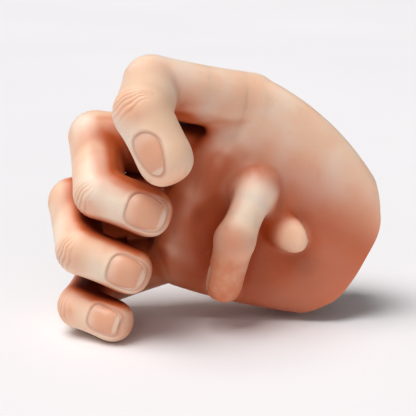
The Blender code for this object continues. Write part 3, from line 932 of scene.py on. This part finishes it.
def flushOf(co):
    # redder skin in the creases, round the nails and at the fingertips
    total = np.zeros(len(co))
    for chain in bones.values():
        for number, bone in enumerate(chain):
            if number:
                out = bone["palmar"] * bone["radii"][0]
                total += 0.8 * bell(awayFrom(bone["near"] + out, co), 5 * mm)
                total += 0.45 * bell(awayFrom(bone["near"] - out, co), 6 * mm)
        tip = chain[-1]
        total += 0.5 * bell(awayFrom(tip["far"] + tip["along"] * tip["radii"][1], co), 7 * mm)
    thumb = bones["thumb"][-1]
    s, p, z = local(thumb, co)
    total += 0.8 * fade(-2 * mm, 10 * mm, s) * (1 - fade(9 * mm, 12 * mm, np.hypot(p, z)))
    return np.clip(total, 0, 1)


fingerWall = 1.5  # millimetres of silicone


def walled(obj, thickness):
    wall = obj.modifiers.new("wall", "SOLIDIFY")
    wall.thickness = thickness
    wall.offset = -1
    applied(obj)
    mesh = obj.data
    mesh.shade_smooth()
    mesh.set_sharp_from_angle(angle=math.radians(55))
    co = coords(mesh)
    addField(mesh, "rest", co, "FLOAT_VECTOR")
    # partly the palm's redder tone and partly painted shade
    addField(mesh, "palmToneAndShade", palmToneAndShadeOf(co))
    addField(mesh, "flush", flushOf(co))
    mesh.materials.clear()
    mesh.materials.append(skin)
    return obj


def seamReach(obj, plane, normal, way):
    # how far each point of a seam ring lies along the way of the blend
    rel = coords(obj.data) - np.array(plane)
    onSeam = np.abs(rel @ np.array(normal)) < 0.05 * mm
    return rel[onSeam] @ np.array(way)


def blendOver(obj, before, bone, nearCut, farCut, most=7.0 * mm):
    # follows the near bone at one seam and the far bone at the other, and turns over the joint between
    way = unit(before["along"] + bone["along"])
    pivot = bone["near"]
    at = before["near"] + before["along"] * nearCut
    nearRing = seamReach(obj, at, before["along"], way)
    start = max(nearRing.max() + (at - pivot).dot(way), -most)
    end = most
    if farCut is not None:
        at = bone["near"] + bone["along"] * farCut
        farRing = seamReach(obj, at, bone["along"], way)
        end = min(most, farRing.min() + (at - pivot).dot(way))
    print("  blend", obj.name, "mm", round(start / mm, 1), round(end / mm, 1))
    end = max(end, start + 2 * mm)
    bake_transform(obj, before["body"], bone["body"], start=pivot + way * start, end=pivot + way * end)


def dressSkins():
    for name, obj in skins.items():
        walled(obj, (palm["wall"] if name == "palm" else fingerWall) * mm)
    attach(skins["palm"], "palm")
    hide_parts("palm_glove")
    for finger, chain in bones.items():
        first = chain[0]
        thumb = finger == "thumb"
        nearCut = seams["knuckleThumb"] if thumb else seams["knuckle"]
        endCut = (seams["thumb"] if thumb else seams["proximal"]) * first["long"]
        base = skins[first["body"]]
        at = first["near"] + first["along"] * (nearCut + 0.1 * mm)
        # the thumb's link turns further, so its skin follows it sooner
        followed = min(endCut, nearCut + 6 * mm) if thumb else endCut
        till = first["near"] + first["along"] * (followed - 0.3 * mm)
        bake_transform(base, "palm", first["body"], start=at, end=till)
        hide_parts(first["body"] + "_sleeve")
        cut = endCut
        for before, bone in zip(chain, chain[1:]):
            last = bone is chain[-1]
            farCut = None if last else seams["middle"] * bone["long"]
            piece = skins[bone["body"]]
            blendOver(piece, before, bone, cut, farCut)
            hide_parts(bone["body"] + "_sleeve")
            cut = farCut


dressSkins()
print("skins walled and following their bodies")


def makeNail(finger):
    nail, spot = fingers[finger]["nail"], nailFrame(finger)
    bone = spot["bone"]
    half, wide = nail["long"] * mm / 2, nail["wide"] * mm / 2
    body = skins[bone["body"]]
    tree = BVHTree.FromObject(body, bpy.context.evaluated_depsgraph_get())
    bm = bmesh.new()
    bmesh.ops.create_grid(bm, x_segments=44, y_segments=40, size=1)
    radius = bone["radii"][1]
    fields = []
    for vert in bm.verts:
        x, y = vert.co.x, vert.co.y
        # a square grid drawn onto the rounded outline
        power = nail["corner"]
        reach = max(abs(x), abs(y))
        if reach > 0:
            size = (abs(x / reach) ** power + abs(y / reach) ** power) ** (1 / power)
            x, y = x / size, y / size
        along = x * half
        narrow = 1 - nail["taper"] * min(max(x, -0.4), 1.3)
        turn = y * wide * narrow / radius
        way = spot["out"] * math.cos(turn) + spot["side"] * math.sin(turn)
        foot = bone["far"] + bone["along"] * (spot["along"] + along)
        hit, _, _, _ = tree.ray_cast(foot + way * 30 * mm, -way)
        at = (hit - foot).length if hit else radius
        edge = min(reach, 1.0)
        lift = nailLook["rise"] - nailLook["drop"] * edge ** 5 * (1 if x < 0.55 else nailLook["dropAtFree"])
        vert.co = foot + way * (at + lift * mm)
        fields.append((x * 0.5 + 0.5, y))
    bmesh.ops.recalc_face_normals(bm, faces=bm.faces)
    face = bm.faces[:][len(bm.faces) // 2]
    if face.normal.dot(spot["out"]) < 0:
        bmesh.ops.reverse_faces(bm, faces=bm.faces)
    smoothed(bm, [vert for vert in bm.verts if not vert.is_boundary], 6)
    obj = newObject(finger + "Nail", bm)
    mesh = obj.data
    addField(mesh, "nailLong", np.array([f[0] for f in fields]))
    addField(mesh, "nailWide", np.array([f[1] for f in fields]))
    plateWall = obj.modifiers.new("plate", "SOLIDIFY")
    plateWall.thickness = nailLook["thick"] * mm
    plateWall.offset = -1
    applied(obj)
    mesh = obj.data
    mesh.shade_smooth()
    addField(mesh, "rest", coords(mesh), "FLOAT_VECTOR")
    mesh.materials.clear()
    mesh.materials.append(plate)
    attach(obj, bone["body"])
    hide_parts(finger + "_nail")


for finger in fingers:
    makeNail(finger)
print("nails laid on the fingertips")


metals = {
    "_link": metalMaterial("linkAlloy", linear(168, 170, 174), 0.38, 2400),
    "_pin": metalMaterial("pinSteel", linear(200, 201, 204), 0.2, 1800, (1, 1, 12)),
    "knuckle_frame": metalMaterial("frameAlloy", linear(150, 152, 158), 0.42, 2600),
    "socket_plate": metalMaterial("plateAlloy", linear(196, 198, 202), 0.28, 900, (14, 14, 1)),
    "plate_screw": metalMaterial("screwSteel", linear(182, 184, 188), 0.25, 2000),
    "palm_liner": linerMaterial(),
}
for name, node in frame["nodes"].items():
    found = next((m for key, m in metals.items() if key in name), None)
    if found and not node.hide_render:
        node.data.materials.clear()
        node.data.materials.append(found)
print("metal parts dressed")


view = {"aim": shift + Vector((0, 0, 38.3)) * mm, "away": 0.4, "above": 15, "lens": 102.1}
lamps = {
    "window": {"at": (-0.32, -0.12, 0.9), "strength": 2.28, "softness": 44, "colour": (1, 0.99, 0.98)},
    "fill": {"at": (0.15, -0.85, 0.5), "strength": 0.4, "softness": 60, "colour": (1, 0.98, 0.97)},
}
room = {"colour": (0.93, 0.93, 0.95), "strength": 0.17}
floorCard = {"half": 4, "dark": linear(236, 235, 237), "pale": linear(240, 239, 241)}


def floorMaterial():
    made, shader = newMaterial("floorCard")
    place = readFrom(shader, "ShaderNodeTexCoord", {}, "Object")
    soft = place.node("ShaderNodeTexNoise", {}, {"Vector": place, "Scale": 3, "Detail": 2})
    feed(shader, "Base Color", soft.step(0.2, 0.8).tint(floorCard["dark"], floorCard["pale"]))
    shader.inputs["Roughness"].default_value = 0.9
    shader.inputs["Specular IOR Level"].default_value = 0.1
    return made


def makeFloor():
    bm = bmesh.new()
    bmesh.ops.create_grid(bm, x_segments=8, y_segments=8, size=floorCard["half"])
    bmesh.ops.translate(bm, vec=(0, 0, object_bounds()[0][2]), verts=bm.verts)
    floor = newObject("floor", bm)
    floor.data.materials.append(floorMaterial())


def addSun(name, at, strength, softness, colour):
    lamp = bpy.data.lights.new(name, "SUN")
    lamp.energy = strength
    lamp.angle = math.radians(softness)
    lamp.color = colour
    obj = bpy.data.objects.new(name, lamp)
    scene.collection.objects.link(obj)
    obj.location = at
    obj.rotation_euler = (-Vector(at)).to_track_quat("-Z", "Y").to_euler()


def makeCamera():
    data = bpy.data.cameras.new("camera")
    data.lens = view["lens"]
    data.sensor_width = 36
    data.clip_start = 0.01
    camera = bpy.data.objects.new("camera", data)
    scene.collection.objects.link(camera)
    up = math.radians(view["above"])
    aim = view["aim"]
    camera.location = aim + Vector((0, -math.cos(up), math.sin(up))) * view["away"]
    camera.rotation_euler = (aim - camera.location).to_track_quat("-Z", "Y").to_euler()
    scene.camera = camera


makeFloor()
for name, lamp in lamps.items():
    addSun(name, **lamp)
world = bpy.data.worlds.new("room")
world.use_nodes = True
world.node_tree.nodes["Background"].inputs["Color"].default_value = (*room["colour"], 1)
world.node_tree.nodes["Background"].inputs["Strength"].default_value = room["strength"]
scene.world = world
scene.view_settings.view_transform = "Standard"
scene.view_settings.look = "Medium High Contrast"
makeCamera()
print("floor, light and camera set")
